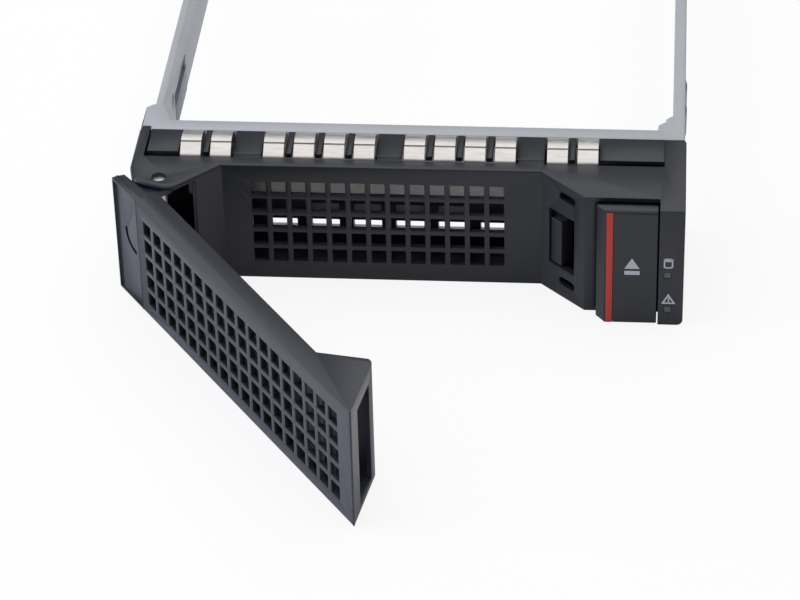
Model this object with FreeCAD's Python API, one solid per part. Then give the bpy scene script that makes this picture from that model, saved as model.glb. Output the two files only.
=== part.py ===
# Hard drive cage: a hot-swap tray that holds one 3.5-inch drive.
# Millimetres, +Z up, +Y towards the rear, +X to the right seen from the front.
# The functions draw everything with Y = 0 at the joint between bezel and frame;
# export() then moves it so that the origin is the middle of the crossbar's underside.

import FreeCAD
import Part
import math
import os

Vector = FreeCAD.Vector

# Whole tray
bezel_overhang = 3.3
height = 26.3
crossbar_depth = 3.6

# The drive it is made for, lying with its base uppermost
drive_width = 101.6
drive_side_gap = 0.2
drive_offset = 0.5
drive_front = 4.0
drive_hole_from_front = 16.9
drive_hole_spacing = 101.6
drive_hole_below_top = 6.45
drive_hole_radius = 1.75

# Frame
left_arm_thickness = 1.6
right_arm_thickness = 2.3
arm_bottom = 12.0
arm_end = 150.0
rear_guide_start = 108.0
rear_guide_slope = 10.0
lead_in = 4.0
web_thickness = 1.5
flange_thickness = 1.5
block_side_gap = 0.3
left_block_depth = 9.4
gusset_reach = 2.2
right_block_depth = 9.0
right_block_step = 6.6
right_block_step_reach = 1.5
right_block_reach = 3.0

# Vent windows, shared by the frame's web and the comb behind the grille
vent_middle = -4.8
vent_pitch = 8.5
vent_count = 6
vent_width = 5.7
low_vent_bottom = 3.9
low_vent_top = 6.8
high_vent_bottom = 7.7
high_vent_top = 10.6

# Bezel
plate_thickness = 1.0
floor_thickness = 1.0
wall = 1.2
side_wall = 0.7
recess_depth = 12.62
recess_edge_radius = 0.4
ear_edge_radius = 0.8
bezel_corner_radius = 1.0
bezel_corner_sag = 0.29
housing_front = 21.4
right_wall_thickness = 1.62
corner_radius = 1.2
cheek_reach = 1.1
cheek_width = 1.8
cheek_edge = 0.4

# Square grille in the bezel's back wall
bezel_grille_margin = 5.66
bezel_grille_below_top = 3.83
bezel_grille_above_floor = 2.0
bezel_grille_pitch = 3.889
bezel_grille_hole = 2.87

# Ear that carries the handle
pin_from_side = 6.25
pin_y = -17.5
pin_radius = 1.4
pin_sunk = 0.8
pin_floor = 0.4
ear_width = 8.9
ear_front_y = -21.5
ear_front_radius = 3.0
ear_side_inset = 1.12
ear_side_y = -18.67
ear_side_radius = 2.5
ear_back_y = -13.7
ear_back_radius = 8.0
ear_opening = 6.15

# Slot and two oval holes in the sloped wall beside the button
slot_start = 2.3
slot_end = 9.4
slot_bottom = 6.6
slot_below_top = 7.15
oval_middle = 7.4
oval_length = 4.4
oval_height = 1.8
oval_low = 3.7
oval_below_top = 2.9

# Comb and contact fingers along the rear of the top plate
comb_left_inset = 2.6
comb_right_inset = 4.2
comb_left_groove = 0.4
comb_wall = 1.5
comb_front = 8.1
comb_seam = 8.5
comb_slot_front = 9.9
comb_notch_depth = 1.8
finger_group_starts = (6.75, 23.1, 50.7, 78.6)
finger_group_counts = (2, 4, 4, 2)
finger_pitch = 5.92
finger_width = 4.0
finger_side_gap = 0.5
finger_sheet = 0.2
finger_bends = ((9.7, -1.5), (9.6, -0.1), (8.9, 0.75), (7.35, 1.7), (6.3, 2.15), (4.85, 2.12),
                (3.0, 1.75), (1.95, 1.0), (1.35, 0.0))
finger_root = 1.4
finger_lap = 1.0
finger_flange_bottom = 12.3
finger_flange_below_top = 1.5

# Handle, given in its closed place: x from its left end, y from its front face
handle_end_inset = 16.05
handle_front = -25.0
handle_left_of_pin = 5.5
handle_open_angle = 54.5
handle_bottom = 0.4
handle_below_top = 0.5
handle_shell = 1.2
handle_left_depth = 4.9
handle_right_depth = 4.2
handle_root = 10.4
handle_root_depth = 3.0
handle_root_slope = 2.2
handle_root_land = 0.2
handle_back_bevel = 0.4
handle_tip_start = 0.4
handle_tip_middle = (0.1, 0.12)
handle_tip_end = 0.3
handle_heel_start = 0.5
handle_heel_middle = (0.1, 0.15)
handle_heel_end = 0.3
handle_flare_land = 1.1
handle_back_gap = 1.28
handle_end_gap = 0.3
catch_rim = 2.0
catch_reach = 5.7
catch_below_top = 3.0
handle_grille_left = 12.6
handle_grille_bottom = 3.06
handle_grille_column_pitch = 4.17
handle_grille_row_pitch = 4.11
handle_grille_hole = 3.0
handle_grille_right = 3.6
handle_grille_below_top = 2.1
end_bevel = 1.5
end_bevel_depth = 1.2
low_bevel_length = 9.6
low_bevel_height = 1.3
mark_x = 7.6
mark_z = 15.6
mark_radius = 3.75
mark_width = 0.7
mark_depth = 0.35
lug_radius = 3.0
lug_thickness = 1.4
lug_gap = 0.3

# Release button
button_width = 11.9
button_side_gap = 0.25
button_bottom = 0.1
button_below_top = 0.4
button_front = 25.4
button_panel = 2.3
button_side_bevel = 1.8
button_top_bevel = 0.6
button_body_inset = 0.35
button_body_end_gap = 0.4
button_body_depth = 10.0
button_shell = 1.2
button_bridge = 15.0
plunger_bottom = 9.0
plunger_top = 15.0
plunger_gap = 0.2
button_spring_inset = 6.4
button_spring_drop = 0.5
stripe_inset = 1.9
stripe_width = 1.4
stripe_depth = 0.6

# Indicator column to the right of the button
column_width = 4.85
column_front = 25.7
column_left_wall = 0.8
guide_width = 1.35
guide_front_height = 1.25
upper_guide_inset = 3.13
upper_guide_z = 11.58
lower_guide_inset = 2.98
lower_guide_z = 3.65
guide_straight = 7.7
guide_bend_end = 3.0
guide_thickness = 1.0
guide_height = 1.2
guide_rib = 0.4
guide_below_top = 1.3
guide_floor = 0.8
guide_fit = 0.05
guide_rear_gap = 2.0

# Latch lever behind the sloped wall
latch_from_recess = 3.33
latch_y = -7.0
latch_pin_radius = 1.0
latch_hub_radius = 2.6
latch_bottom = 6.9
latch_below_top = 9.3
latch_arm_reach = 2.5
latch_arm_front = 9.4
latch_arm_thickness = 2.2
latch_catch_gap = 0.17
latch_tip_back = 0.6
latch_tip_blunt = 0.3
latch_tip_ramp = (2.6, 1.15)
latch_neck = (3.8, 0.15)
latch_heel = (2.4, 0.8)
latch_shoulder_inset = 0.05
latch_shoulder_depth = 0.8
latch_slope_depth = 2.0
latch_wall_gap = 0.1
latch_arm_root = (2.0, 1.4)
latch_pin_below_top = 5.7
latch_head_radius = 1.8
latch_head = 0.8
latch_boss_radius = 2.2

# Springs, wound from wire with slightly flattened sides
coil_wire_sides = 4
handle_coil_radius = 2.2
handle_coil_wire = 0.35
handle_coil_pitch = 3.2
handle_coil_turns = 3
handle_coil_bottom = 6.0
handle_spring_leg = 0.38
handle_spring_anchor = 5.5
handle_spring_arm = 3.0
latch_coil_radius = 1.7
latch_coil_wire = 0.25
latch_coil_pitch = 0.8
latch_coil_turns = 2
latch_coil_leg = 4.0
button_coil_radius = 2.4
button_coil_wire = 0.3
button_coil_turns = 3

# Screws that hold the bezel to the frame
screw_left_inset = 7.1
screw_right_inset = 8.6
screw_low_z = 4.5
screw_below_top = 4.8
screw_radius = 1.25
screw_head_radius = 2.1
screw_head = 1.4
screw_length = 6.5
screw_boss_half = 2.2
screw_boss_length = 6.5
screw_drive_width = 0.6
screw_drive_depth = 0.6

# Slide pads let into the arms' lower edges
pad_start = 23.4
pad_end = 40.0
pad_drop = 0.5
pad_below_top = 9.3
pad_gap_below_top = 6.5
pad_bulge = 0.45
pad_hump = 3.0

# Running clearance of a pin or screw in its hole, on the radius
pin_fit = 0.05

# Values that follow from the ones above
bezel_width = drive_width + 2 * bezel_overhang
half_width = bezel_width / 2
bay_left = drive_offset - drive_width / 2 - drive_side_gap
bay_right = drive_offset + drive_width / 2 + drive_side_gap
left_arm_outside = bay_left - left_arm_thickness
right_arm_outside = bay_right + right_arm_thickness
plate_bottom = height - plate_thickness
pin_x = pin_from_side - half_width
ear_front_x = ear_width - half_width
ear_side_x = ear_side_inset - half_width
handle_left = pin_x - handle_left_of_pin
handle_length = half_width - handle_end_inset - handle_left
handle_top = height - handle_below_top
handle_end_depth = -handle_front - recess_depth - handle_back_gap
handle_flare_depth = handle_end_depth - handle_right_depth
handle_flare_start = handle_length - handle_end_depth - handle_flare_land - handle_flare_depth
handle_end_sum = handle_left + handle_length + handle_front
slope_sum = handle_end_sum + handle_end_gap * math.sqrt(2)
recess_right = slope_sum + recess_depth
recess_left = ear_front_x - ear_front_y - recess_depth
catch_edge = handle_front + handle_end_depth - catch_rim
catch_bottom = handle_bottom + handle_shell
catch_top = handle_top - catch_below_top
slot_top = height - slot_below_top
oval_high = height - oval_below_top
comb_left = comb_left_inset - half_width
comb_right = half_width - comb_right_inset
finger_flange_top = height - finger_flange_below_top
column_left = half_width - column_width
upper_guide_x = half_width - upper_guide_inset
lower_guide_x = half_width - lower_guide_inset
button_right = column_left - button_side_gap
button_left = button_right - button_width
button_top = height - button_below_top
button_spring_x = button_left + button_spring_inset
button_travel_gap = button_front - button_panel - housing_front
stripe_left = button_left + stripe_inset
stripe_right = stripe_left + stripe_width
latch_x = handle_end_sum + recess_depth + latch_from_recess
latch_tip_x = latch_x - latch_tip_back
latch_top = height - latch_below_top
latch_arm_end = button_left + latch_arm_reach
latch_pin_top = height - latch_pin_below_top
screw_left_x = screw_left_inset - half_width
screw_right_x = half_width - screw_right_inset
screw_high_z = height - screw_below_top
button_spring_z = (screw_low_z + screw_high_z) / 2 - button_spring_drop
guide_top = height - guide_below_top
guide_inside = bay_right + guide_floor
pad_bottom = arm_bottom - pad_drop
pad_top = height - pad_below_top
pad_gap_top = height - pad_gap_below_top

# How many holes the grilles have room for
bezel_grille_left = recess_left + bezel_grille_margin
bezel_grille_top = height - bezel_grille_below_top
bezel_grille_room = recess_right - bezel_grille_margin - bezel_grille_left
bezel_grille_columns = int(bezel_grille_room / bezel_grille_pitch)
bezel_grille_tall = bezel_grille_top - floor_thickness - bezel_grille_above_floor
bezel_grille_rows = int(bezel_grille_tall / bezel_grille_pitch)
handle_grille_room = handle_length - handle_grille_left - handle_grille_right
handle_grille_columns = int(handle_grille_room / handle_grille_column_pitch)
handle_grille_tall = handle_top - handle_grille_below_top - handle_grille_bottom
handle_grille_rows = int(handle_grille_tall / handle_grille_row_pitch)


def box(x0, x1, y0, y1, z0, z1):
    """Block between two corners."""
    return Part.makeBox(x1 - x0, y1 - y0, z1 - z0, Vector(x0, y0, z0))


def rod(x, y, z0, z1, radius):
    """Upright round bar."""
    return Part.makeCylinder(radius, z1 - z0, Vector(x, y, z0))


def bar_along_y(x, z, y0, y1, radius):
    """Round bar that runs from front to rear."""
    return Part.makeCylinder(radius, y1 - y0, Vector(x, y0, z), Vector(0, 1, 0))


def bar_along_x(y, z, x0, x1, radius):
    """Round bar that runs across the tray."""
    return Part.makeCylinder(radius, x1 - x0, Vector(x0, y, z), Vector(1, 0, 0))


def flat_loop(points):
    """Closed loop in plan; an entry with two points is an arc's middle and end."""
    start = Vector(points[0][0], points[0][1], 0)
    here = start
    edges = []
    for entry in points[1:]:
        if isinstance(entry[0], tuple):
            middle = Vector(entry[0][0], entry[0][1], 0)
            there = Vector(entry[1][0], entry[1][1], 0)
            edges.append(Part.Arc(here, middle, there).toShape())
        else:
            there = Vector(entry[0], entry[1], 0)
            edges.append(Part.makeLine(here, there))
        here = there
    if here.distanceToPoint(start) > 0.001:
        edges.append(Part.makeLine(here, start))
    return Part.Wire(edges)


def prism(points, z0, z1):
    """Upright block with the given plan."""
    block = Part.Face(flat_loop(points)).extrude(Vector(0, 0, z1 - z0))
    block.translate(Vector(0, 0, z0))
    return block


def side_prism(points, x0, x1):
    """Block with the given side view (y, z), from one X to the other."""
    corners = [Vector(x0, y, z) for y, z in points]
    wire = Part.makePolygon(corners + [corners[0]])
    return Part.Face(wire).extrude(Vector(x1 - x0, 0, 0))


def joined(shapes):
    """One solid out of touching shapes."""
    whole = shapes[0].multiFuse(shapes[1:]) if len(shapes) > 1 else shapes[0]
    return whole.removeSplitter()


def coil(radius, wire_radius, pitch, turns):
    """Helical spring standing on Z = 0."""
    helix = Part.makeHelix(pitch, pitch * turns, radius)
    corners = []
    for i in range(coil_wire_sides + 1):
        angle = 2 * math.pi * i / coil_wire_sides
        corners.append(Vector(radius + wire_radius * math.cos(angle), 0,
                              wire_radius * math.sin(angle)))
    section = Part.makePolygon(corners)
    return Part.Wire(helix).makePipeShell([section], True, True)


def export(name, shape):
    """Move a finished piece into the shared frame and write it."""
    shape.translate(Vector(0, -crossbar_depth / 2, 0))
    shape.exportStep("parts/" + name + ".step")


def vent_middles(skip):
    """Middles of the vent windows, leaving out so many at each end."""
    first = vent_middle - vent_pitch * (vent_count - 1) / 2
    return [first + vent_pitch * i for i in range(skip, vent_count - skip)]


def slope_point(along, inward):
    """Plan point on the sloped wall: distance from its rear corner and into the housing."""
    step = math.sqrt(0.5)
    x = recess_right + step * (along + inward)
    y = -recess_depth - step * (along - inward)
    return (x, y)


def screw_places():
    """X and Z of the screws that hold the bezel."""
    return [(x, z) for x in (screw_left_x, screw_right_x) for z in (screw_low_z, screw_high_z)]


def arm_side_view():
    """Side view of an arm: shallow at the drive, full height at the rear guide."""
    return [
        (left_block_depth / 2, arm_bottom),
        (rear_guide_start, arm_bottom),
        (rear_guide_start + rear_guide_slope, 0),
        (arm_end - lead_in, 0),
        (arm_end, lead_in),
        (arm_end, height - lead_in),
        (arm_end - lead_in, height),
        (left_block_depth / 2, height),
    ]


def frame_blocks():
    """Corner lumps that join the crossbar to the arms."""
    left = left_arm_outside - left_arm_thickness - block_side_gap / 2
    left_block = prism(
        [
            (left, 0),
            (left, left_block_depth - corner_radius),
            (left + corner_radius, left_block_depth),
            (bay_left, left_block_depth),
            (bay_left + gusset_reach, crossbar_depth),
            (bay_left + gusset_reach, 0),
        ],
        0,
        height,
    )
    right_block = prism(
        [
            (right_arm_outside, 0),
            (right_arm_outside, right_block_depth),
            (bay_right - right_block_step_reach + corner_radius, right_block_depth),
            (bay_right - right_block_step_reach, right_block_depth - corner_radius),
            (bay_right - right_block_step_reach, right_block_step),
            (bay_right - right_block_reach + corner_radius, right_block_step),
            (bay_right - right_block_reach, right_block_step - corner_radius),
            (bay_right - right_block_reach, 0),
        ],
        0,
        height,
    )
    return [left_block, right_block]


def tray_frame():
    """Crossbar with a vented web, corner blocks and two arms around the drive."""
    left = bay_left - left_arm_thickness
    web = box(left, bay_right, 0, web_thickness, 0, height)
    top_flange = box(left, bay_right, 0, crossbar_depth, height - flange_thickness, height)
    low_flange = box(left, bay_right, 0, crossbar_depth, 0, flange_thickness)
    left_arm = side_prism(arm_side_view(), left_arm_outside, bay_left)
    right_arm = side_prism(arm_side_view(), bay_right, right_arm_outside)
    body = joined([web, top_flange, low_flange, left_arm, right_arm] + frame_blocks())
    cuts = []
    for x in vent_middles(0):
        cuts.append(box(x - vent_width / 2, x + vent_width / 2, -1, web_thickness + 1,
                        low_vent_bottom, low_vent_top))
    for x, z in screw_places():
        cuts.append(bar_along_y(x, z, -1, web_thickness + 1, screw_radius + pin_fit))
        cuts.append(bar_along_y(x, z, web_thickness, left_block_depth + 1,
                                screw_head_radius + drive_side_gap))
    for y in drive_hole_places():
        cuts.append(bar_along_x(y, height - drive_hole_below_top, left_arm_outside - 1,
                                right_arm_outside + 1, drive_hole_radius))
    cuts.append(box(left_arm_outside - 1, right_arm_outside + 1, pad_start, pad_end,
                    arm_bottom - 1, pad_gap_top))
    channel_bottom = guide_top - 2 * guide_height - guide_rib
    cuts.append(box(guide_inside, right_arm_outside + 1, -1, arm_end + 1,
                    channel_bottom, guide_top))
    cuts.append(cheek(pin_fit))
    return body.cut(joined_cuts(cuts))


def joined_cuts(shapes):
    """All cutting shapes as one compound."""
    return Part.makeCompound(shapes)


def drive_hole_places():
    """Distance of the drive's two side holes behind the joint face."""
    front_hole = drive_front + drive_hole_from_front
    return [front_hole, front_hole + drive_hole_spacing]


def cheek(margin):
    """Small tab of the bezel that laps over the frame's left block."""
    left = -half_width + cheek_edge
    return box(left - margin, left + cheek_width + margin, -1, cheek_reach + margin,
               plate_bottom - margin, height)


def round_corner(before, corner, after, radius):
    """End of a line and the tangent arc that round one corner of an outline."""
    corner = Vector(*corner, 0)
    inward = (corner - Vector(*before, 0)).normalize()
    outward = (Vector(*after, 0) - corner).normalize()
    half_turn = inward.getAngle(outward) / 2
    reach = radius * math.tan(half_turn)
    start = corner - inward * reach
    end = corner + outward * reach
    sag = radius / math.cos(half_turn) - radius
    middle = corner + (outward - inward).normalize() * sag
    return [(start.x, start.y), ((middle.x, middle.y), (end.x, end.y))]


def bezel_outline():
    """Plan of the bezel from the rear right corner, clockwise seen from above."""
    slope_end = (recess_left, -recess_depth)
    front = (ear_front_x, ear_front_y)
    side = (ear_side_x, ear_side_y)
    back = (-half_width, ear_back_y)
    outline = [
        (half_width, -bezel_corner_radius),
        (half_width, -column_front),
        (column_left, -column_front),
        (column_left, -housing_front),
        (slope_sum + housing_front, -housing_front),
        (recess_right, -recess_depth),
        slope_end,
    ]
    outline += round_corner(slope_end, front, side, ear_front_radius)
    outline += round_corner(front, side, back, ear_side_radius)
    outline += round_corner(side, back, (-half_width, 0), ear_back_radius)
    outline += [
        (-half_width, 0),
        (half_width - bezel_corner_radius, 0),
        ((half_width - bezel_corner_sag, -bezel_corner_sag), (half_width, -bezel_corner_radius)),
    ]
    return outline


def bezel_plates():
    """Top plate with its rounded recess edge, and the floor plate."""
    top = prism(bezel_outline(), plate_bottom, height)
    thin = plate_thickness * 0.95
    ear_edges = []
    for edge in top.Edges:
        middle = edge.CenterOfMass
        if abs(middle.z - height) > 0.01 or middle.y > -recess_depth + 0.1:
            continue
        if middle.x < recess_left:
            ear_edges.append(edge)
    top = top.makeFillet(min(ear_edge_radius, thin), ear_edges)
    fresh = []
    for edge in top.Edges:
        middle = edge.CenterOfMass
        on_wall = recess_left < middle.x < recess_right and abs(middle.y + recess_depth) < 0.1
        if on_wall and abs(middle.z - height) < 0.01:
            fresh.append(edge)
    top = top.makeFillet(min(recess_edge_radius, thin), fresh)
    opening = box(comb_left - comb_left_groove, comb_right, -comb_slot_front, 1,
                  plate_bottom - 1, height + 1)
    top = top.cut(opening)
    bridges = []
    for left, right in comb_bridges():
        bridges.append(box(left, right, -comb_slot_front, -comb_seam, plate_bottom, height))
    floor = prism(bezel_outline(), 0, floor_thickness)
    return [top, floor] + bridges


def bezel_walls():
    """Side walls, sloped walls, back wall and the indicator column's walls."""
    low = floor_thickness
    step = math.sqrt(0.5)
    left_wall = box(-half_width, -half_width + wall, ear_back_y + ear_back_radius / 4, 0,
                    low, plate_bottom)
    far_x = ear_front_x + step * ear_opening
    far_y = ear_front_y + step * ear_opening
    back = wall * step
    left_slope = prism(
        [
            (far_x, far_y),
            (recess_left, -recess_depth),
            (recess_left, -recess_depth + wall),
            (recess_left - back + wall * (1 - step), -recess_depth + wall),
            (far_x - back, far_y + back),
        ],
        low,
        plate_bottom,
    )
    back_wall = box(recess_left, recess_right, -recess_depth, -recess_depth + wall,
                    low, plate_bottom)
    run = (housing_front - recess_depth) / step
    right_slope = prism(
        [
            slope_point(0, 0),
            slope_point(run, 0),
            (slope_point(run, 0)[0] + right_wall_thickness / step, -housing_front),
            slope_point(0, right_wall_thickness),
            (recess_right, -recess_depth + wall),
        ],
        low,
        plate_bottom,
    )
    column_wall = box(column_left, column_left + column_left_wall, -column_front, -comb_wall,
                      low, plate_bottom)
    column_face = box(column_left, half_width, -column_front, -column_front + wall,
                      low, plate_bottom)
    right_wall = box(half_width - side_wall, half_width, -column_front, -1.0, low, plate_bottom)
    return [left_wall, left_slope, back_wall, right_slope, column_wall, column_face, right_wall]


def bezel_bosses():
    """Screw bosses with ribs to the nearest wall, and the post under the latch."""
    shapes = []
    front = -comb_wall - screw_boss_length
    for x, z in screw_places():
        shapes.append(box(x - screw_boss_half, x + screw_boss_half, front, -comb_wall,
                          z - screw_boss_half, z + screw_boss_half))
        if x < 0:
            shapes.append(box(-half_width, x, front, -comb_wall, z - wall / 2, z + wall / 2))
        else:
            shapes.append(box(x, column_left + wall / 2, front, -comb_wall,
                              z - wall / 2, z + wall / 2))
    shapes.append(rod(latch_x, latch_y, floor_thickness / 2, latch_bottom - 0.3,
                      latch_boss_radius))
    return shapes


def bezel_cuts():
    """Grille, latch slot, oval holes, pin holes, screw holes and indicator windows."""
    cuts = []
    for column in range(bezel_grille_columns):
        for row in range(bezel_grille_rows):
            x = bezel_grille_left + column * bezel_grille_pitch
            z = bezel_grille_top - row * bezel_grille_pitch
            cuts.append(box(x, x + bezel_grille_hole, -recess_depth - 1, -recess_depth + wall + 1,
                            z - bezel_grille_hole, z))
    cuts.append(
        prism(
            [
                slope_point(slot_start, -1),
                slope_point(slot_end, -1),
                slope_point(slot_end, right_wall_thickness + 1),
                slope_point(slot_start, right_wall_thickness + 1),
            ],
            slot_bottom,
            slot_top,
        )
    )
    for z in (oval_low, oval_high):
        cuts.append(oval_hole(z))
    cuts.append(rod(pin_x, pin_y, pin_floor, height + 1, pin_radius + pin_fit))
    cuts.append(rod(latch_x, latch_y, floor_thickness, latch_bottom, latch_pin_radius + pin_fit))
    for x, z in screw_places():
        cuts.append(bar_along_y(x, z, -comb_wall - screw_boss_length - 1, 0,
                                screw_radius + pin_fit))
    for x, z in ((upper_guide_x, upper_guide_z), (lower_guide_x, lower_guide_z)):
        half = guide_width / 2 + guide_fit
        tall = guide_front_height / 2 + guide_fit
        cuts.append(box(x - half, x + half, -column_front - 1, -column_front + wall + 1,
                        z - tall, z + tall))
    corner = box(half_width - corner_radius, half_width + 1, -column_front - 1, 1,
                 -1, corner_radius)
    cuts.append(corner.cut(bar_along_y(half_width - corner_radius, corner_radius,
                                       -column_front - 2, 2, corner_radius)))
    return cuts


def oval_hole(z):
    """Long hole through the sloped wall at one height."""
    radius = oval_height / 2
    ends = (oval_middle - oval_length / 2 + radius, oval_middle + oval_length / 2 - radius)
    direction = Vector(1, 1, 0)
    shapes = []
    for along in ends:
        x, y = slope_point(along, -1)
        shapes.append(Part.makeCylinder(radius, right_wall_thickness + 2, Vector(x, y, z),
                                        direction))
    shapes.append(
        prism(
            [
                slope_point(ends[0], -1),
                slope_point(ends[1], -1),
                slope_point(ends[1], right_wall_thickness + 1),
                slope_point(ends[0], right_wall_thickness + 1),
            ],
            z - radius,
            z + radius,
        )
    )
    return joined(shapes)


def front_bezel():
    """Black moulded front: plates, recess, ear, button housing and indicator column."""
    body = joined(bezel_plates() + bezel_walls() + bezel_bosses() + [cheek(0)])
    return body.cut(joined_cuts(bezel_cuts()))


def finger_lefts():
    """Left edge of every contact finger, group by group."""
    last = comb_right - finger_side_gap - finger_width
    groups = []
    for start, count in zip(finger_group_starts, finger_group_counts):
        lefts = [comb_left + start + finger_pitch * i for i in range(count)]
        lefts = [left for left in lefts if left < last]
        if lefts:
            groups.append(lefts)
    return groups


def comb_bridges():
    """Solid places between the finger groups."""
    groups = finger_lefts()
    bridges = []
    for before, after in zip(groups[:-1], groups[1:]):
        left = before[-1] + finger_width + finger_side_gap
        bridges.append((left, after[0] - finger_side_gap))
    return bridges


def rear_comb():
    """Toothed strip in the top plate with a vented wall behind the grille."""
    low = plate_bottom
    shapes = [box(comb_left, comb_right, -comb_front, 0, low, height)]
    shapes.append(box(comb_left, comb_right, -comb_wall, 0, floor_thickness, height))
    for left, right in comb_bridges():
        shapes.append(box(left, right, -comb_seam, -comb_front, low, height))
    body = joined(shapes)
    cuts = []
    for group in finger_lefts():
        for left in group:
            cuts.append(box(left - finger_side_gap, left + finger_width + finger_side_gap,
                            -comb_seam - 1, 1, height - comb_notch_depth, height + 1))
    for x in vent_middles(0):
        cuts.append(box(x - vent_width / 2, x + vent_width / 2, -comb_wall - 1, 1,
                        low_vent_bottom, low_vent_top))
    for x in vent_middles(1):
        cuts.append(box(x - vent_width / 2, x + vent_width / 2, -comb_wall - 1, 1,
                        high_vent_bottom, high_vent_top))
    for x, z in screw_places():
        cuts.append(bar_along_y(x, z, -comb_wall - 1, 1, screw_radius + pin_fit))
    return body.cut(joined_cuts(cuts))


def bent_sheet(points, thickness):
    """Side view of a bent sheet whose outer side follows the points."""
    inner = []
    for i, (y, z) in enumerate(points):
        before = points[max(i - 1, 0)]
        after = points[min(i + 1, len(points) - 1)]
        run = math.hypot(after[0] - before[0], after[1] - before[1])
        inner.append((y + thickness * (after[1] - before[1]) / run,
                      z - thickness * (after[0] - before[0]) / run))
    return points + inner[::-1]


def contact_fingers():
    """Strip of twelve bent spring-steel fingers on one common flange."""
    profile = [(-along, height + rise) for along, rise in finger_bends]
    profile.append((-comb_wall, height - finger_root))
    profile.append((-comb_wall, finger_flange_top - finger_lap))
    groups = finger_lefts()
    left_end = groups[0][0]
    right_end = groups[-1][-1] + finger_width
    flange = box(left_end, right_end, -comb_wall - finger_sheet, -comb_wall,
                 finger_flange_bottom, finger_flange_top)
    shapes = [flange]
    for group in groups:
        for left in group:
            shapes.append(side_prism(bent_sheet(profile, finger_sheet), left,
                                     left + finger_width))
    strip = joined(shapes)
    slots = []
    for x in vent_middles(1):
        slots.append(box(x - vent_width / 2, x + vent_width / 2, -comb_wall - 1, 0,
                         finger_flange_bottom - 1, finger_flange_bottom + 0.5))
    return strip.cut(joined_cuts(slots))


def handle_point(x, y):
    """Place of a handle point in plan while the handle is closed."""
    return (handle_left + x, handle_front + y)


def handle_outline():
    """Plan of the handle, from the front left corner to the right and back."""
    end_x = handle_length - handle_end_depth
    flare_end = handle_flare_start + handle_flare_depth
    return [
        handle_point(end_bevel, 0),
        handle_point(handle_length - handle_tip_start, 0),
        (handle_point(handle_length - handle_tip_middle[0], handle_tip_middle[1]),
         handle_point(handle_length - handle_tip_end, handle_tip_end)),
        handle_point(end_x + handle_heel_start, handle_end_depth - handle_heel_start),
        (handle_point(end_x + handle_heel_middle[0], handle_end_depth - handle_heel_middle[1]),
         handle_point(end_x - handle_heel_end, handle_end_depth)),
        handle_point(flare_end, handle_end_depth),
        handle_point(handle_flare_start, handle_right_depth),
        handle_point(handle_root, handle_left_depth),
        handle_point(handle_root - handle_root_slope, handle_root_depth + handle_root_land),
        handle_point(handle_back_bevel, handle_root_depth - handle_back_bevel),
        handle_point(0, end_bevel_depth),
    ]


def handle_cavities():
    """Shallow chamber behind the grille and the closed pocket in the flared end."""
    low = handle_bottom + handle_shell
    high = handle_top - handle_shell
    shell = handle_shell
    slant = shell * math.sqrt(2)
    flare = handle_flare_start - handle_right_depth
    end = handle_length
    channel = prism(
        [
            handle_point(handle_root + shell, shell),
            handle_point(flare + shell, shell),
            handle_point(handle_flare_start - shell, handle_right_depth - shell),
            handle_point(handle_root + shell, handle_left_depth - shell),
        ],
        low,
        high,
    )
    deep = handle_end_depth - shell
    pocket = prism(
        [
            handle_point(flare + slant + shell, shell),
            handle_point(end - slant - shell, shell),
            handle_point(end - slant - deep, deep),
            handle_point(flare + slant + deep, deep),
        ],
        low,
        high,
    )
    return [channel, pocket]


def handle_lugs():
    """Two lugs that reach back to the pin between the ear's plates."""
    x0 = pin_x - lug_radius
    x1 = pin_x + lug_radius
    front = handle_front + handle_root_depth / 2
    low = floor_thickness + lug_gap
    high = plate_bottom - lug_gap
    shapes = []
    for z in (low, high - lug_thickness):
        shapes.append(box(x0, x1, front, pin_y, z, z + lug_thickness))
        shapes.append(rod(pin_x, pin_y, z, z + lug_thickness, lug_radius))
    return shapes


def thumb_mark():
    """Shallow curved groove in the plain end of the handle's face."""
    x = handle_left + mark_x
    outer = mark_radius + mark_width / 2
    start = handle_front - 1
    end = handle_front + mark_depth
    ring = bar_along_y(x, mark_z, start, end, outer)
    ring = ring.cut(bar_along_y(x, mark_z, start, end, outer - mark_width))
    return ring.common(box(x - outer, x, start, end, mark_z - outer, mark_z + mark_width / 2))


def handle():
    """Swinging handle with a square grille, drawn closed and turned open."""
    body = prism(handle_outline(), handle_bottom, handle_top)
    body = body.cut(joined_cuts(handle_cavities()))
    body = joined([body] + handle_lugs())
    cuts = [rod(pin_x, pin_y, 0, height, pin_radius + pin_fit)]
    for column in range(handle_grille_columns):
        for row in range(handle_grille_rows):
            x = handle_left + handle_grille_left + column * handle_grille_column_pitch
            z = handle_grille_bottom + row * handle_grille_row_pitch
            cuts.append(box(x, x + handle_grille_hole, handle_front - 1,
                            handle_front + handle_shell + 0.01, z, z + handle_grille_hole))
    cuts.append(
        side_prism(
            [
                (handle_front - 1, handle_bottom - 1),
                (handle_front - 1, handle_bottom + low_bevel_height + 1),
                (handle_front, handle_bottom + low_bevel_height),
                (handle_front + end_bevel_depth, handle_bottom),
                (handle_front + end_bevel_depth, handle_bottom - 1),
            ],
            handle_left - 1,
            handle_left + low_bevel_length,
        )
    )
    cuts.append(thumb_mark())
    pocket_x = handle_left + handle_length - handle_end_depth
    cuts.append(box(pocket_x, pocket_x + handle_end_depth + 1, catch_edge - catch_reach,
                    catch_edge, catch_bottom, catch_top))
    body = body.cut(joined_cuts(cuts))
    body.rotate(Vector(pin_x, pin_y, 0), Vector(0, 0, 1), -handle_open_angle)
    return body


def handle_pin():
    """Steel pin through the ear and the handle's lugs."""
    return rod(pin_x, pin_y, pin_floor, height - pin_sunk, pin_radius)


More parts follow.
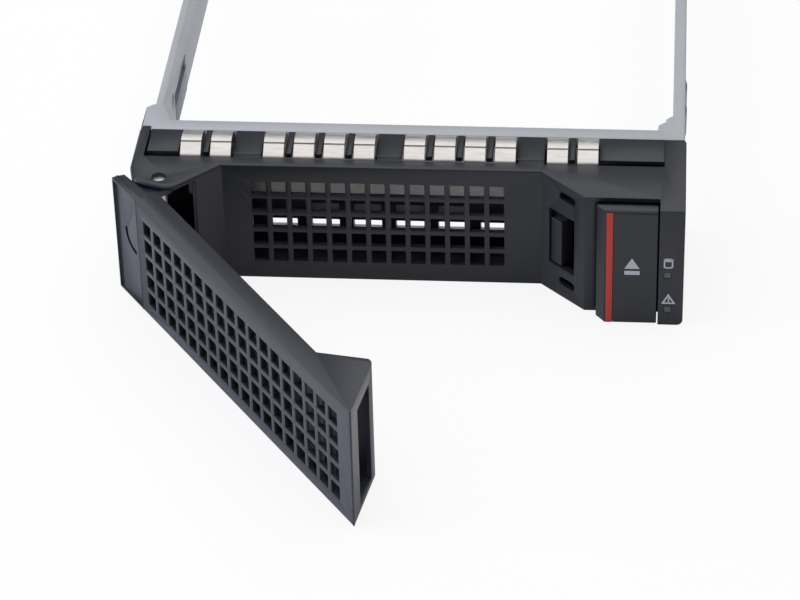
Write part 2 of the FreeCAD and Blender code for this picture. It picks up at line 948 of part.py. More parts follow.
def handle_spring():
    """Coil around the pin that swings the handle open, with two straight legs."""
    top = handle_coil_pitch * handle_coil_turns
    lower = Part.makeCylinder(handle_spring_leg, handle_spring_anchor,
                              Vector(handle_coil_radius, -handle_coil_wire, 0),
                              Vector(0, 1, 0))
    upper = Part.makeCylinder(handle_spring_leg, handle_spring_arm,
                              Vector(handle_coil_radius, handle_coil_wire, top),
                              Vector(0, -1, 0))
    upper.rotate(Vector(0, 0, 0), Vector(0, 0, 1), -handle_open_angle)
    turned = coil(handle_coil_radius, handle_coil_wire, handle_coil_pitch,
                  handle_coil_turns - handle_open_angle / 360)
    upper.translate(Vector(0, 0, -handle_coil_pitch * handle_open_angle / 360))
    spring = joined([turned, lower, upper])
    spring.translate(Vector(pin_x, pin_y, handle_coil_bottom))
    return spring


def release_button():
    """Push button: bevelled front panel, hollow body and a plunger for the latch."""
    back = -(button_front - button_panel)
    panel = prism(
        [
            (button_left, back),
            (button_left + button_side_bevel, -button_front),
            (button_right, -button_front),
            (button_right, back),
        ],
        button_bottom,
        button_top,
    )
    bevel = side_prism(
        [
            (-button_front - 1, button_top + 1),
            (-button_front - 1, button_top - button_top_bevel - 1),
            (-button_front + button_top_bevel + 1, button_top + 1),
        ],
        button_left - 1,
        button_right + 1,
    )
    panel = panel.cut(bevel)
    x0 = button_left + button_body_inset
    x1 = button_right - button_body_inset
    z0 = floor_thickness + button_body_end_gap
    z1 = plate_bottom - button_body_end_gap
    rear = back + button_body_depth
    shell = button_shell
    body = box(x0, x1, back, rear, z0, z1)
    hollow = box(x0 + shell, x1 - shell, back, rear + 1, z0 + shell, z1 - shell)
    bridge = box(x0, x1, -button_bridge, -button_bridge + shell, z0, z1)
    tongue = box(x0, x0 + shell, rear - 1, -latch_arm_front - plunger_gap,
                 plunger_bottom, plunger_top)
    whole = joined([panel, body.cut(hollow), bridge, tongue])
    return whole.cut(stripe_block())


def stripe_block():
    """Room of the coloured stripe in the button's face."""
    return box(stripe_left, stripe_right, -button_front, -button_front + stripe_depth,
               button_bottom, button_top - button_top_bevel)


def button_stripe():
    """Coloured insert over the height of the button."""
    return stripe_block()


def button_spring():
    """Push spring between the button's bridge and the comb's wall."""
    front = -button_bridge + button_shell
    length = -comb_wall - front - 2 * button_coil_wire
    spring = coil(button_coil_radius, button_coil_wire, length / button_coil_turns,
                  button_coil_turns)
    spring.rotate(Vector(0, 0, 0), Vector(1, 0, 0), -90)
    spring.translate(Vector(button_spring_x, front + button_coil_wire, button_spring_z))
    return spring


def latch_lever():
    """Bell-crank latch: hook through the sloped wall, arm behind the button."""
    catch_face = catch_edge - latch_catch_gap
    wall_line = slope_sum - latch_wall_gap * math.sqrt(2)
    shoulder_x = latch_x - latch_shoulder_inset
    slope_y = -recess_depth - latch_slope_depth
    neck_x = latch_tip_x + latch_neck[0]
    outline = [
        (latch_x - latch_heel[0], latch_y - latch_heel[1]),
        (shoulder_x, -recess_depth - latch_wall_gap),
        (shoulder_x, -recess_depth - latch_shoulder_depth),
        (wall_line - slope_y, slope_y),
        (wall_line - catch_face, catch_face),
        (latch_tip_x, catch_face),
        (latch_tip_x, catch_face - latch_tip_blunt),
        (latch_tip_x + latch_tip_ramp[0], catch_face - latch_tip_ramp[1]),
        (neck_x, catch_face - latch_neck[1]),
        (neck_x, -latch_arm_front),
        (latch_arm_end, -latch_arm_front),
        (latch_arm_end, -latch_arm_front + latch_arm_thickness),
        (latch_x + latch_arm_root[0], latch_y + latch_arm_root[1]),
    ]
    arms = prism(outline, latch_bottom, latch_top)
    hub = rod(latch_x, latch_y, latch_bottom, latch_top, latch_hub_radius)
    bore = rod(latch_x, latch_y, latch_bottom - 1, latch_top + 1, latch_pin_radius + pin_fit)
    return joined([arms, hub]).cut(bore)


def latch_pin():
    """Headed pin that the latch turns on."""
    shank = rod(latch_x, latch_y, floor_thickness, latch_pin_top, latch_pin_radius)
    head = rod(latch_x, latch_y, latch_pin_top, latch_pin_top + latch_head, latch_head_radius)
    return joined([shank, head])


def latch_spring():
    """Small coil on the latch pin that keeps the hook out."""
    spring = coil(latch_coil_radius, latch_coil_wire, latch_coil_pitch, latch_coil_turns)
    leg = Part.makeCylinder(latch_coil_wire, latch_coil_leg, Vector(latch_coil_radius, 0, 0),
                            Vector(0, 1, 0))
    spring = joined([spring, leg])
    spring.translate(Vector(latch_x, latch_y, latch_top + 2 * latch_coil_wire))
    return spring


def section(x, y, z, wide, tall):
    """Upright rectangle across the tray, as a loft section."""
    corners = [
        Vector(x - wide / 2, y, z - tall / 2),
        Vector(x + wide / 2, y, z - tall / 2),
        Vector(x + wide / 2, y, z + tall / 2),
        Vector(x - wide / 2, y, z + tall / 2),
    ]
    return Part.makePolygon(corners + [corners[0]])


def light_guide(x, z, rear_z):
    """Clear bar from an indicator window to the rear end of the right arm."""
    rear_x = guide_inside + guide_thickness / 2
    bend_start = -column_front + guide_straight
    front = box(x - guide_width / 2, x + guide_width / 2, -column_front, bend_start,
                z - guide_front_height / 2, z + guide_front_height / 2)
    bend = Part.makeLoft(
        [
            section(x, bend_start, z, guide_width, guide_front_height),
            section(rear_x, -guide_bend_end, rear_z, guide_thickness, guide_height),
        ],
        True,
        True,
    )
    rear = box(rear_x - guide_thickness / 2, rear_x + guide_thickness / 2, -guide_bend_end,
               arm_end - guide_rear_gap, rear_z - guide_height / 2, rear_z + guide_height / 2)
    return joined([front, bend, rear])


def activity_light_guide():
    """Light guide of the upper indicator."""
    return light_guide(upper_guide_x, upper_guide_z, guide_top - guide_height / 2)


def fault_light_guide():
    """Light guide of the lower indicator."""
    rear_z = guide_top - guide_height * 1.5 - guide_rib
    return light_guide(lower_guide_x, lower_guide_z, rear_z)


def slide_pad(inside, outside):
    """Pad in an arm's lower edge with two shallow humps on its outer side."""
    direction = 1 if outside > inside else -1
    humps = []
    for middle in (pad_start + pad_hump + 0.6, pad_end - pad_hump - 0.6):
        humps.append(
            prism(
                [
                    (outside, middle - pad_hump),
                    ((outside + direction * pad_bulge, middle), (outside, middle + pad_hump)),
                ],
                pad_bottom,
                pad_top,
            )
        )
    body = box(min(inside, outside), max(inside, outside), pad_start, pad_end,
               pad_bottom, pad_top)
    return joined([body] + humps)


def left_side_pad():
    """Slide pad of the left arm."""
    return slide_pad(bay_left, left_arm_outside)


def right_side_pad():
    """Slide pad of the right arm."""
    return slide_pad(bay_right, right_arm_outside)


def bezel_screws():
    """Four slotted screws from behind the crossbar into the bezel's bosses."""
    screws = []
    for x, z in screw_places():
        shank = bar_along_y(x, z, web_thickness - screw_length, web_thickness, screw_radius)
        head = bar_along_y(x, z, web_thickness, web_thickness + screw_head, screw_head_radius)
        end = web_thickness + screw_head
        slot = box(x - screw_head_radius, x + screw_head_radius, end - screw_drive_depth, end + 1,
                   z - screw_drive_width / 2, z + screw_drive_width / 2)
        screws.append(joined([shank, head]).cut(slot))
    return Part.makeCompound(screws)


os.makedirs("parts", exist_ok=True)
export("tray_frame", tray_frame())
export("front_bezel", front_bezel())
export("rear_comb", rear_comb())
export("contact_fingers", contact_fingers())
export("handle", handle())
export("handle_pin", handle_pin())
export("handle_spring", handle_spring())
export("release_button", release_button())
export("button_stripe", button_stripe())
export("button_spring", button_spring())
export("latch_lever", latch_lever())
export("latch_pin", latch_pin())
export("latch_spring", latch_spring())
export("activity_light_guide", activity_light_guide())
export("fault_light_guide", fault_light_guide())
export("left_side_pad", left_side_pad())
export("right_side_pad", right_side_pad())
export("bezel_screws", bezel_screws())
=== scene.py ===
import math

import bpy
from mathutils import Matrix, Vector


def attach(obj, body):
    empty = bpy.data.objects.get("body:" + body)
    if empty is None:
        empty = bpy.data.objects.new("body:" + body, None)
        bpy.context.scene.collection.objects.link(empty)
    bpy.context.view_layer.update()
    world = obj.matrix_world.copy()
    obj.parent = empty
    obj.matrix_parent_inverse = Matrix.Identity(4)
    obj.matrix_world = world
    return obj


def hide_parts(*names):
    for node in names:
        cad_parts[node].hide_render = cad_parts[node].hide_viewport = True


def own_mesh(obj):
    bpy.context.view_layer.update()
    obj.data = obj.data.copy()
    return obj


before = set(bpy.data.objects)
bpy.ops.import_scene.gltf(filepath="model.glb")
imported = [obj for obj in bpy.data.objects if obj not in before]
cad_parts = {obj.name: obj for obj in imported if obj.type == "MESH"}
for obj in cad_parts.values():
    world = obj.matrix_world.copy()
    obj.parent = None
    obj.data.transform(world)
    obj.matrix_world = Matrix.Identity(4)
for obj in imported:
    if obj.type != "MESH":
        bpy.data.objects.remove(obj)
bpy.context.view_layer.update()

scene = bpy.context.scene
scene.view_settings.view_transform = "Standard"


# Camera
# The viewpoint stands about 0.68 m from the tray, in front, above and a little to the right,
# and looks down on it with a long lens, so that the far ends of the arms run out of view.
view_place = Vector((0.04825, -0.56533, 0.37674))
view_elevation = 34.591
view_turn = 5.209
view_roll = -1.518
lens_data = bpy.data.cameras.new("view_camera")
lens_data.lens = 151.68
lens_data.sensor_width = 36.0
lens_data.clip_start = 0.01
view_camera = bpy.data.objects.new("view_camera", lens_data)
scene.collection.objects.link(view_camera)
view_camera.matrix_world = (
    Matrix.Translation(view_place)
    @ Matrix.Rotation(math.radians(view_turn), 4, "Z")
    @ Matrix.Rotation(math.radians(90 - view_elevation), 4, "X")
    @ Matrix.Rotation(math.radians(view_roll), 4, "Z")
)
scene.camera = view_camera


# Studio light
# A very large soft box hangs over the table and a small cool one stands at its left.
# The room around them is dim, and the backdrop is plain white to the camera.
def srgb(text):
    """Linear colour of an sRGB hex value."""
    parts = [int(text[i:i + 2], 16) / 255 for i in (1, 3, 5)]
    linear = [p / 12.92 if p <= 0.04045 else ((p + 0.055) / 1.055) ** 2.4 for p in parts]
    return (linear[0], linear[1], linear[2], 1.0)


def add_node(tree, kind, settings=None, inputs=None, links=None):
    """Add a node, set its properties and inputs, and link its inputs from other sockets."""
    node = tree.nodes.new(kind)
    for name, value in (settings or {}).items():
        setattr(node, name, value)
    for name, value in (inputs or {}).items():
        node.inputs[name].default_value = value
    for name, socket in (links or {}).items():
        tree.links.new(socket, node.inputs[name])
    return node


room_strength = 0.16
world = bpy.data.worlds.new("pale_room")
scene.world = world
world.use_nodes = True
sky = world.node_tree
sky.nodes.clear()
sky_path = add_node(sky, "ShaderNodeLightPath")
sky_seen = add_node(sky, "ShaderNodeMath", {"operation": "MAXIMUM"},
                    links={0: sky_path.outputs["Is Camera Ray"],
                           1: sky_path.outputs["Is Transmission Ray"]})
sky_light = add_node(sky, "ShaderNodeBackground",
                     inputs={"Color": srgb("#eef1f5"), "Strength": room_strength})
sky_white = add_node(sky, "ShaderNodeBackground",
                     inputs={"Color": srgb("#ffffff"), "Strength": 1.0})
sky_mix = add_node(sky, "ShaderNodeMixShader",
                   links={0: sky_seen.outputs[0], 1: sky_light.outputs[0],
                          2: sky_white.outputs[0]})
add_node(sky, "ShaderNodeOutputWorld", links={"Surface": sky_mix.outputs[0]})

lit_point = Vector((0.0, 0.0, 0.01))
soft_boxes = (
    ("overhead_box", Vector((-0.05, 0.10, 0.80)), 1.60, 11.5, "#ffffff"),
    ("left_box", Vector((-0.90, -0.15, 0.30)), 0.50, 5.6, "#ccd4fb"),
)
for name, place, size, power, tint in soft_boxes:
    lamp = bpy.data.lights.new(name, "AREA")
    lamp.shape = "SQUARE"
    lamp.size = size
    lamp.energy = power
    lamp.color = srgb(tint)[:3]
    box = bpy.data.objects.new(name, lamp)
    scene.collection.objects.link(box)
    aim = (lit_point - place).to_track_quat("-Z", "Y")
    box.matrix_world = Matrix.Translation(place) @ aim.to_matrix().to_4x4()


# Floor
# A plain white studio floor. It is white to the camera and keeps a faint shadow of the tray.
def start_fresh():
    """Leave edit mode and deselect everything."""
    if bpy.context.object and bpy.context.object.mode != "OBJECT":
        bpy.ops.object.mode_set(mode="OBJECT")
    bpy.ops.object.select_all(action="DESELECT")


floor_size = 6.0
glow_share = 0.86
start_fresh()
bpy.ops.mesh.primitive_plane_add(size=floor_size, location=(0, 0, 0))
floor = bpy.context.object
floor.name = "studio_floor"
bpy.ops.object.transform_apply(location=True, rotation=True, scale=True)
floor_paint = bpy.data.materials.new("white_floor")
floor_paint.use_nodes = True
floor_tree = floor_paint.node_tree
floor_tree.nodes.clear()
floor_path = add_node(floor_tree, "ShaderNodeLightPath")
floor_matt = add_node(floor_tree, "ShaderNodeBsdfDiffuse", inputs={"Color": srgb("#f4f4f5")})
floor_glow = add_node(floor_tree, "ShaderNodeEmission",
                      inputs={"Color": srgb("#ffffff"), "Strength": 1.0})
floor_share = add_node(floor_tree, "ShaderNodeMath", {"operation": "MULTIPLY"},
                       inputs={1: glow_share}, links={0: floor_path.outputs["Is Camera Ray"]})
floor_mix = add_node(floor_tree, "ShaderNodeMixShader",
                     links={0: floor_share.outputs[0], 1: floor_matt.outputs[0],
                            2: floor_glow.outputs[0]})
add_node(floor_tree, "ShaderNodeOutputMaterial", links={"Surface": floor_mix.outputs[0]})
floor.data.materials.append(floor_paint)


# Frame
# The crossbar and both arms are one light-alloy casting with a satin light-grey coat.
# Its edges are rounded by the mould and the coat lies over them.
def plain_copy(node, name, pierced=False):
    """Copy of a solid with its loose triangles merged into flat faces.

    A face pierced by holes only has its triangles paired, since it can't be one polygon.
    """
    start_fresh()
    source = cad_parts[node]
    piece = source.copy()
    piece.data = source.data.copy()
    piece.name = name
    piece.data.name = name
    piece.parent = None
    piece.matrix_world = Matrix.Identity(4)
    scene.collection.objects.link(piece)
    piece.hide_set(False)
    bpy.context.view_layer.objects.active = piece
    piece.select_set(True)
    flat_angle = math.radians(0.5)
    bpy.ops.object.mode_set(mode="EDIT")
    bpy.ops.mesh.select_all(action="SELECT")
    bpy.ops.mesh.remove_doubles(threshold=0.000002)
    if pierced:
        bpy.ops.mesh.tris_convert_to_quads(face_threshold=flat_angle,
                                           shape_threshold=math.radians(180))
    else:
        bpy.ops.mesh.dissolve_limited(angle_limit=flat_angle)
    bpy.ops.object.mode_set(mode="OBJECT")
    piece.data.materials.clear()
    return piece


def soften(piece, radius, segments=2, clamp=True):
    """Round the sharp edges of a piece within its own box, and smooth its curved faces."""
    sharp_angle = 28
    smooth_angle = 32
    lowest = [min(vertex.co[i] for vertex in piece.data.vertices) for i in range(3)]
    highest = [max(vertex.co[i] for vertex in piece.data.vertices) for i in range(3)]
    start_fresh()
    bpy.context.view_layer.objects.active = piece
    piece.select_set(True)
    soft = piece.modifiers.new("rounded_edges", "BEVEL")
    soft.width = radius
    soft.segments = segments
    soft.limit_method = "ANGLE"
    soft.angle_limit = math.radians(sharp_angle)
    soft.use_clamp_overlap = clamp
    soft.miter_outer = "MITER_ARC"
    soft.loop_slide = False
    bpy.ops.object.modifier_apply(modifier=soft.name)
    for vertex in piece.data.vertices:
        for i in range(3):
            vertex.co[i] = min(max(vertex.co[i], lowest[i]), highest[i])
    bpy.ops.object.shade_smooth_by_angle(angle=math.radians(smooth_angle))


def softened_copy(node, name, radius, segments=2, pierced=False):
    """Copy of a solid with its sharp edges rounded."""
    piece = plain_copy(node, name, pierced)
    soften(piece, radius, segments, clamp=not pierced)
    return piece


def moulded_plastic(name, colour, patch, grain_mm, rough, depth_mm=0.02):
    """Moulded or coated surface: a fine grain, slight cloudiness and a soft sheen."""
    cloud_mm = 18.0
    material = bpy.data.materials.new(name)
    material.use_nodes = True
    tree = material.node_tree
    tree.nodes.clear()
    place = add_node(tree, "ShaderNodeTexCoord")
    grain = add_node(tree, "ShaderNodeTexNoise",
                     inputs={"Scale": 1000 / grain_mm, "Detail": 3.0, "Roughness": 0.6},
                     links={"Vector": place.outputs["Object"]})
    cloud = add_node(tree, "ShaderNodeTexNoise",
                     inputs={"Scale": 1000 / cloud_mm, "Detail": 4.0, "Roughness": 0.55},
                     links={"Vector": place.outputs["Object"]})
    tone = add_node(tree, "ShaderNodeMix", {"data_type": "RGBA"},
                    links={0: cloud.outputs["Fac"]})
    tone.inputs[6].default_value = srgb(colour)
    tone.inputs[7].default_value = srgb(patch)
    sheen = add_node(tree, "ShaderNodeMapRange",
                     inputs={"From Min": 0.3, "From Max": 0.7, "To Min": rough - 0.05,
                             "To Max": rough + 0.06},
                     links={"Value": grain.outputs["Fac"]})
    bump = add_node(tree, "ShaderNodeBump",
                    inputs={"Strength": 0.35, "Distance": depth_mm / 1000},
                    links={"Height": grain.outputs["Fac"]})
    shader = add_node(tree, "ShaderNodeBsdfPrincipled", inputs={"IOR": 1.5},
                      links={"Base Color": tone.outputs[2], "Roughness": sheen.outputs[0],
                             "Normal": bump.outputs[0]})
    add_node(tree, "ShaderNodeOutputMaterial", links={"Surface": shader.outputs[0]})
    return material


casting_edge = 0.00022
casting = softened_copy("tray_frame", "frame_casting", casting_edge, pierced=True)
casting.data.materials.append(
    moulded_plastic("satin_grey_coat", "#a0a2a4", "#adafb1", 0.9, 0.42, 0.012))
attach(casting, "tray")
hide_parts("tray_frame")


# Front bezel
# One black moulding: top plate, recess with its square grille, ear for the handle, button
# housing and indicator column. It has a fine grain and a dull sheen all over.
bezel_edge = 0.00012
black_plastic = moulded_plastic("black_grained_plastic", "#1c1e24", "#22242b", 0.32, 0.40)
bezel = softened_copy("front_bezel", "bezel_moulding", bezel_edge, pierced=True)
bezel.data.materials.append(black_plastic)
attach(bezel, "tray")
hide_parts("front_bezel")


# Contact fingers
# Twelve fingers and their flange are one strip of bright spring steel, stamped and bent,
# so each has a sharp crease across it and faint rolling lines. They earth the tray.
def rolled_steel(name, colour, gleam, rough, line_mm, across):
    """Bright steel with faint lines, stretched by three scales along the rolling direction."""
    material = bpy.data.materials.new(name)
    material.use_nodes = True
    tree = material.node_tree
    tree.nodes.clear()
    place = add_node(tree, "ShaderNodeTexCoord")
    stretch = add_node(tree, "ShaderNodeMapping", inputs={"Scale": across},
                       links={"Vector": place.outputs["Object"]})
    lines = add_node(tree, "ShaderNodeTexNoise",
                     inputs={"Scale": 1000 / line_mm, "Detail": 2.0, "Roughness": 0.5},
                     links={"Vector": stretch.outputs[0]})
    dull = add_node(tree, "ShaderNodeMapRange",
                    inputs={"From Min": 0.3, "From Max": 0.7, "To Min": rough - 0.06,
                            "To Max": rough + 0.08},
                    links={"Value": lines.outputs["Fac"]})
    bump = add_node(tree, "ShaderNodeBump", inputs={"Strength": 0.25, "Distance": 0.00001},
                    links={"Height": lines.outputs["Fac"]})
    tone = add_node(tree, "ShaderNodeMix", {"data_type": "RGBA"},
                    links={0: lines.outputs["Fac"]})
    tone.inputs[6].default_value = srgb(colour)
    tone.inputs[7].default_value = srgb(gleam)
    shader = add_node(tree, "ShaderNodeBsdfPrincipled", inputs={"Metallic": 0.8},
                      links={"Base Color": tone.outputs[2], "Roughness": dull.outputs[0],
                             "Normal": bump.outputs[0]})
    add_node(tree, "ShaderNodeOutputMaterial", links={"Surface": shader.outputs[0]})
    return material


# Millimetres. Each group has its first finger's left side and its number of fingers, and the
# points of a finger's side are in Y and Z, from the front up over the crease and back down.
sheet_mm = 0.2
finger_width = 4.0
finger_pitch = 5.92
finger_groups = ((-44.75, 2), (-28.4, 4), (-0.8, 4), (27.1, 2))
finger_lefts = [start + finger_pitch * i for start, count in finger_groups
                for i in range(count)]
front_facet = [(-11.4, 24.9), (-11.38, 26.05), (-11.28, 26.3), (-11.05, 26.52), (-10.7, 26.78),
               (-9.9, 27.35), (-9.14, 27.89), (-9.02, 27.64)]
rear_hump = [(-8.92, 27.66), (-8.76, 28.15), (-8.5, 28.23), (-7.9, 28.31), (-7.2, 28.33),
             (-6.5, 28.3), (-5.8, 28.18), (-5.1, 27.97), (-4.5, 27.68), (-4.0, 27.34),
             (-3.6, 26.95), (-3.35, 26.5), (-3.22, 26.0), (-3.2, 25.0), (-3.3, 24.0)]
finger_side = front_facet + rear_hump
flange_y = -3.4
flange_bottom = 12.35
flange_top = 24.75


def bent_finger(left):
    """A narrow strip, still without thickness, bent over the points of a finger's side."""
    start_fresh()
    bpy.ops.mesh.primitive_grid_add(x_subdivisions=1, y_subdivisions=len(finger_side) - 1,
                                    size=0.001, location=(0, 0, 0))
    strip = bpy.context.object
    for index, vertex in enumerate(strip.data.vertices):
        y, z = finger_side[index // 2]
        x = left + finger_width * (index % 2)
        vertex.co = (x / 1000, y / 1000, z / 1000)
    return strip


strips = [bent_finger(left) for left in finger_lefts]
start_fresh()
bpy.ops.mesh.primitive_plane_add(size=0.001, location=(0, 0, 0))
flange = bpy.context.object
for index, vertex in enumerate(flange.data.vertices):
    x = finger_lefts[-1] + finger_width if index % 2 else finger_lefts[0]
    z = flange_top if index // 2 else flange_bottom
    vertex.co = (x / 1000, flange_y / 1000, z / 1000)
start_fresh()
for strip in strips:
    strip.select_set(True)
flange.select_set(True)
bpy.context.view_layer.objects.active = flange
bpy.ops.object.join()
fingers = bpy.context.object
fingers.name = "finger_strip"
sheet = fingers.modifiers.new("sheet_thickness", "SOLIDIFY")
sheet.thickness = sheet_mm / 1000
sheet.offset = 0.0
bpy.ops.object.modifier_apply(modifier=sheet.name)
bpy.ops.object.shade_smooth_by_angle(angle=math.radians(30))
spring_steel = rolled_steel("rolled_spring_steel", "#aca8a3", "#dbd8d5", 0.34, 0.5,
                            (0.15, 1.0, 1.0))
fingers.data.materials.append(spring_steel)
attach(fingers, "tray")
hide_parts("contact_fingers")


# Rear comb
# A separate black moulding behind the grille. Its teeth lie in the top plate, each close to the
# right side of a contact finger, and its rear wall has two rows of vent windows.
comb_edge = 0.00010
slot_clearance = 0.5
tooth_reach = 0.35
teeth_foot = 24.0
wall_tolerance = 0.01
slot_walls = [left + finger_width + slot_clearance for left in finger_lefts]
comb = plain_copy("rear_comb", "comb_moulding", pierced=True)
for vertex in comb.data.vertices:
    on_wall = any(abs(vertex.co.x * 1000 - wall) < wall_tolerance for wall in slot_walls)
    if on_wall and vertex.co.z * 1000 > teeth_foot:
        vertex.co.x -= tooth_reach / 1000
soften(comb, comb_edge, clamp=False)
comb.data.materials.append(black_plastic)
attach(comb, "tray")
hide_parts("rear_comb")


# Handle
# One dark moulding, a little paler than the bezel: a thin front plate with a square grille, a
# sunk panel with a thumb groove, narrow rims, and a flared hollow end for the latch's hook.
def placed_block(name, placing, along, inward, upward):
    """Block given by its three ranges in millimetres, then put in its place."""
    start_fresh()
    bpy.ops.mesh.primitive_cube_add(size=1.0, location=(0, 0, 0))
    block = bpy.context.object
    block.name = name
    for vertex in block.data.vertices:
        x = along[0] if vertex.co.x < 0 else along[1]
        y = inward[0] if vertex.co.y < 0 else inward[1]
        z = upward[0] if vertex.co.z < 0 else upward[1]
        vertex.co = placing @ (Vector((x, y, z)) / 1000)
    return block


def combine(piece, tool, operation):
    """Add or cut another solid, which is then thrown away."""
    start_fresh()
    bpy.context.view_layer.objects.active = piece
    piece.select_set(True)
    change = piece.modifiers.new("combine", "BOOLEAN")
    change.operation = operation
    change.solver = "EXACT"
    change.object = tool
    bpy.ops.object.modifier_apply(modifier=change.name)
    bpy.data.objects.remove(tool, do_unlink=True)


handle_edge = 0.00010
pin_axis = Vector((-0.04785, -0.0193, 0.0))
handle_corner = Vector((-0.05335, -0.0268, 0.0))
open_turn = math.radians(-54.5)
closed_to_open = (Matrix.Translation(pin_axis) @ Matrix.Rotation(open_turn, 4, "Z")
                  @ Matrix.Translation(-pin_axis))
at_corner = closed_to_open @ Matrix.Translation(handle_corner)
handle = plain_copy("handle", "handle_moulding", pierced=True)
end_fill = placed_block("end_fill", at_corner, (0.02, 9.9), (-0.02, 1.35), (0.38, 25.82))
combine(handle, end_fill, "UNION")
sunk_panel = placed_block("sunk_panel", at_corner, (0.3, 9.6), (-1, 0.6), (0.75, 25.4))
combine(handle, sunk_panel, "DIFFERENCE")

thumb_radius = 0.00375
groove_radius = 0.00062
groove_flat = 0.0004
thumb_place = Vector((0.0074, 0.00100, 0.0158))
start_fresh()
bpy.ops.mesh.primitive_torus_add(major_radius=thumb_radius, minor_radius=groove_radius,
                                 major_segments=64, minor_segments=12, location=(0, 0, 0))
groove = bpy.context.object
groove.name = "thumb_groove"
bpy.ops.object.mode_set(mode="EDIT")
for cut_point, cut_side in (((0, 0, 0), (1, 0, 0)), ((0, groove_flat, 0), (0, 1, 0))):
    bpy.ops.mesh.select_all(action="SELECT")
    bpy.ops.mesh.bisect(plane_co=cut_point, plane_no=cut_side, clear_outer=True, use_fill=True)
bpy.ops.object.mode_set(mode="OBJECT")
upright = Matrix.Rotation(math.radians(90), 4, "X")
groove_middle = Matrix.Translation(handle_corner + thumb_place)
groove.data.transform(closed_to_open @ groove_middle @ upright)
combine(handle, groove, "DIFFERENCE")
soften(handle, handle_edge, clamp=False)
handle.data.materials.append(
    moulded_plastic("dark_handle_plastic", "#26282f", "#2c2e36", 0.30, 0.35))
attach(handle, "swing_handle")
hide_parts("handle")


# Pins and screws
# Plain turned steel with fine turning marks: the handle's pin in the ear, the latch's headed
# pin in the button housing and four slotted screws behind the crossbar.
pin_edge = 0.00012
turned_steel = rolled_steel("turned_pin_steel", "#d6d6d6", "#dbd8d5", 0.34, 0.3,
                            (1.0, 1.0, 0.2))
for node, name in (("handle_pin", "ear_pin"), ("latch_pin", "latch_post"),
                   ("bezel_screws", "crossbar_screws")):
    pin = softened_copy(node, name, pin_edge)
    pin.data.materials.append(turned_steel)
    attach(pin, "tray")
    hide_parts(node)


# Springs
# Wound spring wire: the handle's coil opens the handle, the latch's keeps the hook out and
# the button's pushes the button back. That one gets a mesh of its own.
for node in ("handle_spring", "latch_spring"):
    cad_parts[node].data.materials.clear()
    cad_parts[node].data.materials.append(spring_steel)

push_spring = plain_copy("button_spring", "push_spring", pierced=True)
push_spring.data.materials.append(spring_steel)
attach(push_spring, "tray")
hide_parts("button_spring")
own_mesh(push_spring)


# Release button
# A black moulding with a bevelled left edge, pushed in to let the handle spring open.
button_edge = 0.00022
button = softened_copy("release_button", "button_moulding", button_edge, 3, pierced=True)
button.data.materials.append(
    moulded_plastic("black_button_plastic", "#1d1f25", "#22242a", 0.32, 0.40))
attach(button, "button")
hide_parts("release_button")


# Button stripe
# A dark red insert over the height of the button marks a drive that can be pulled in use.
stripe_edge = 0.00008
stripe = softened_copy("button_stripe", "red_insert", stripe_edge)
stripe.data.materials.append(
    moulded_plastic("dark_red_plastic", "#b93128", "#c4382d", 0.4, 0.45, 0.01))
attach(stripe, "button")
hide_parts("button_stripe")


# Latch lever
# A small black moulded bell-crank. Its nose stands in the left half of the slot in the sloped
# wall, with the rest of the slot open to the dark housing.
lever_edge = 0.00020
slope_foot = Vector((0.026094, -0.01442, 0.0))
hook_height = (5, 20)
lever = plain_copy("latch_lever", "lever_moulding")
on_slope = Matrix.Translation(slope_foot) @ Matrix.Rotation(math.radians(-45), 4, "Z")
flush_cut = placed_block("flush_cut", on_slope, (-6, 14), (-6, 0.25), hook_height)
combine(lever, flush_cut, "DIFFERENCE")
side_cut = placed_block("side_cut", on_slope, (5.6, 14), (-6, 3.4), hook_height)
combine(lever, side_cut, "DIFFERENCE")
soften(lever, lever_edge, 3)
lever.data.materials.append(black_plastic)
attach(lever, "latch")
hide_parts("latch_lever")


# Slide pads
# Smooth slate-black plastic pads let into the arms, so that the tray glides in its bay.
pad_edge = 0.00025
slate_plastic = moulded_plastic("slate_pad_plastic", "#4b4e58", "#555863", 0.5, 0.36, 0.008)
for node, name in (("left_side_pad", "left_pad"), ("right_side_pad", "right_pad")):
    pad = softened_copy(node, name, pad_edge, 3)
    pad.data.materials.append(slate_plastic)
    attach(pad, "tray")
    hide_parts(node)


# Light guides
# Two moulded bars carry light from the drive bay's rear to the indicator windows. They are
# clear plastic with polished faces, and seen end on they look milky grey.
guide_edge = 0.00008
flow_mm = 2.5
clear_plastic = bpy.data.materials.new("clear_guide_plastic")
clear_plastic.use_nodes = True
guide_tree = clear_plastic.node_tree
guide_tree.nodes.clear()
guide_place = add_node(guide_tree, "ShaderNodeTexCoord")
guide_flow = add_node(guide_tree, "ShaderNodeTexNoise",
                      inputs={"Scale": 1000 / flow_mm, "Detail": 2.0},
                      links={"Vector": guide_place.outputs["Object"]})
guide_tone = add_node(guide_tree, "ShaderNodeMix", {"data_type": "RGBA"},
                      links={0: guide_flow.outputs["Fac"]})
guide_tone.inputs[6].default_value = srgb("#5a5d61")
guide_tone.inputs[7].default_value = srgb("#6a6d72")
guide_shader = add_node(guide_tree, "ShaderNodeBsdfPrincipled",
                        inputs={"IOR": 1.49, "Roughness": 0.15, "Transmission Weight": 0.35},
                        links={"Base Color": guide_tone.outputs[2]})
add_node(guide_tree, "ShaderNodeOutputMaterial", links={"Surface": guide_shader.outputs[0]})
for node in ("activity_light_guide", "fault_light_guide"):
    guide = softened_copy(node, node.replace("light_guide", "light_bar"), guide_edge)
    guide.data.materials.append(clear_plastic)
    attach(guide, "tray")
    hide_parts(node)


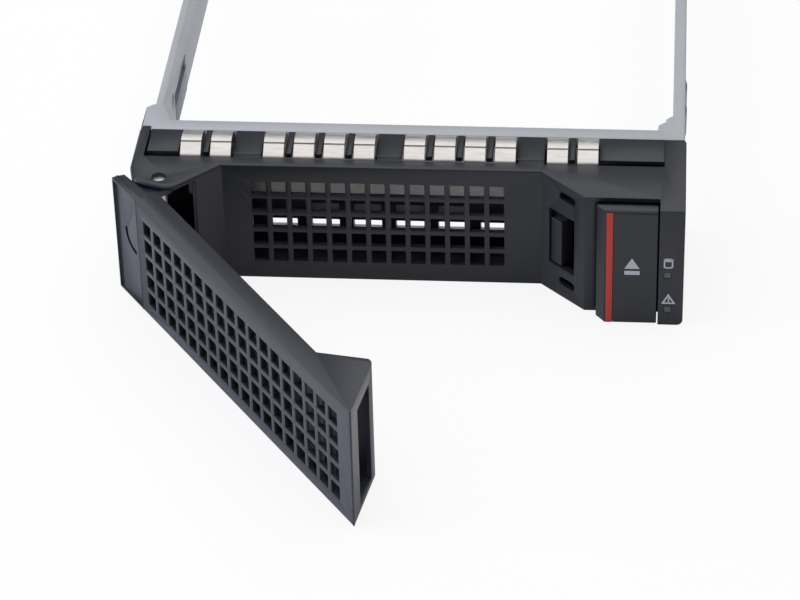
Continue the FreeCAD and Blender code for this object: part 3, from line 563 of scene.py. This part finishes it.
# Printed symbols
# Pale grey pad-printed ink on the button and the indicator column: an eject sign, a disk sign
# and a warning triangle, each a thin film of ink.
ink = moulded_plastic("pale_ink", "#b9bbc4", "#c2c4cc", 0.3, 0.5, 0.004)
ink_film = 0.00003
button_face = -0.0272
column_face = -0.0275
disk_x = 51.1
disk_reach = 0.91
disk_bulge = 0.35


def ink_shape(name, corners, face_y, band=None):
    """Ink on a front face, from its corners in X and Z millimetres, or a band inside them."""
    start_fresh()
    bpy.ops.mesh.primitive_circle_add(vertices=len(corners), radius=0.001, fill_type="NGON",
                                      location=(0, 0, 0))
    mark = bpy.context.object
    mark.name = name
    for vertex, (x, z) in zip(mark.data.vertices, corners):
        vertex.co = (x / 1000, face_y - ink_film, z / 1000)
    bpy.ops.object.mode_set(mode="EDIT")
    bpy.ops.mesh.select_all(action="SELECT")
    if band:
        bpy.ops.mesh.inset(thickness=band / 1000)
        bpy.ops.mesh.delete(type="FACE")
        bpy.ops.mesh.select_all(action="SELECT")
    bpy.ops.mesh.extrude_region_move(
        TRANSFORM_OT_translate={"value": (0, ink_film * 0.9, 0)})
    bpy.ops.mesh.select_all(action="SELECT")
    bpy.ops.mesh.normals_make_consistent(inside=False)
    bpy.ops.object.mode_set(mode="OBJECT")
    mark.data.materials.append(ink)
    return mark


def half_disk(middle_z, start):
    """Half of a flat ellipse round the disk sign's upright axis, from a start angle on."""
    angles = [start + math.pi * i / 12 for i in range(13)]
    return [(disk_x + disk_reach * math.cos(a), middle_z + disk_bulge * math.sin(a))
            for a in angles]


eject_roof = ink_shape("eject_roof", [(42.65, 12.76), (45.61, 12.76), (44.09, 15.13)],
                       button_face)
eject_bar = ink_shape("eject_bar", [(42.66, 11.39), (45.6, 11.39), (45.6, 12.25),
                                    (42.66, 12.25)], button_face)
for mark in (eject_roof, eject_bar):
    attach(mark, "button")

disk_points = half_disk(13.57, math.pi) + half_disk(15.18, 0)
disk_sign = ink_shape("disk_sign", disk_points, column_face, 0.28)
disk_lid = ink_shape("disk_lid", [(50.35, 14.75), (51.85, 14.75), (51.7, 15.3), (50.5, 15.3)],
                     column_face)
fault_sign = ink_shape("fault_sign", [(49.91, 5.0), (52.64, 5.0), (51.2, 7.35)],
                       column_face, 0.32)
fault_stroke = ink_shape("fault_stroke", [(51.14, 5.45), (51.4, 5.45), (51.4, 6.45),
                                          (51.14, 6.45)], column_face)
for mark in (disk_sign, disk_lid, fault_sign, fault_stroke):
    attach(mark, "tray")
